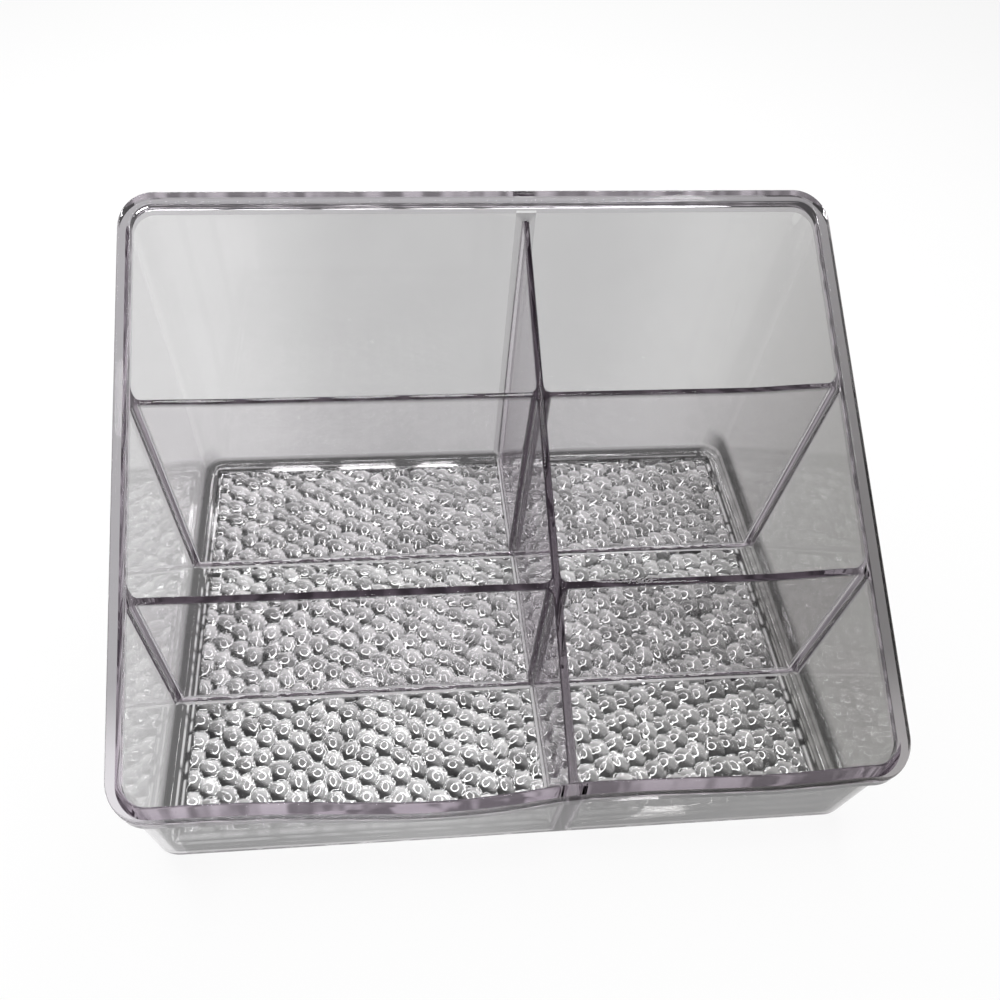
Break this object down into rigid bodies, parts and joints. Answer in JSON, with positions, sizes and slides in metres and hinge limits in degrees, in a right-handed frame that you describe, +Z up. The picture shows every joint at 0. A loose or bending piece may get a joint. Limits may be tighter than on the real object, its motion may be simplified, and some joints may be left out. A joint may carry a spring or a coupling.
{
  "type": "vanity organizer",
  "caption": "Clear moulded vanity organizer: sloping rimmed tray, tall at the back, with a centre divider and cross dividers making open compartments over a pebbled floor.",
  "frame": {"origin": "middle of the underside, on the surface the organizer stands on", "axes": "+X to the user's right along the front, +Y to the tall back, +Z up"},
  "size_m": [0.2402, 0.1822, 0.1207],
  "materials": {
    "clear_walls": "clear, polished",
    "clear_floor": "clear, moulded in rounded pebbles",
    "clear_rim": "clear, polished",
    "clear_dividers": "clear, polished"
  },
  "bodies": {
    "root": {"floor_panel": "clear_floor", "back_wall": "clear_walls", "front_wall": "clear_walls", "left_wall": "clear_walls", "right_wall": "clear_walls", "rim": "clear_rim", "centre_divider": "clear_dividers", "rear_divider_left": "clear_dividers", "rear_divider_right": "clear_dividers", "front_divider_left": "clear_dividers", "front_divider_right": "clear_dividers"}
  },
  "joints": []
}
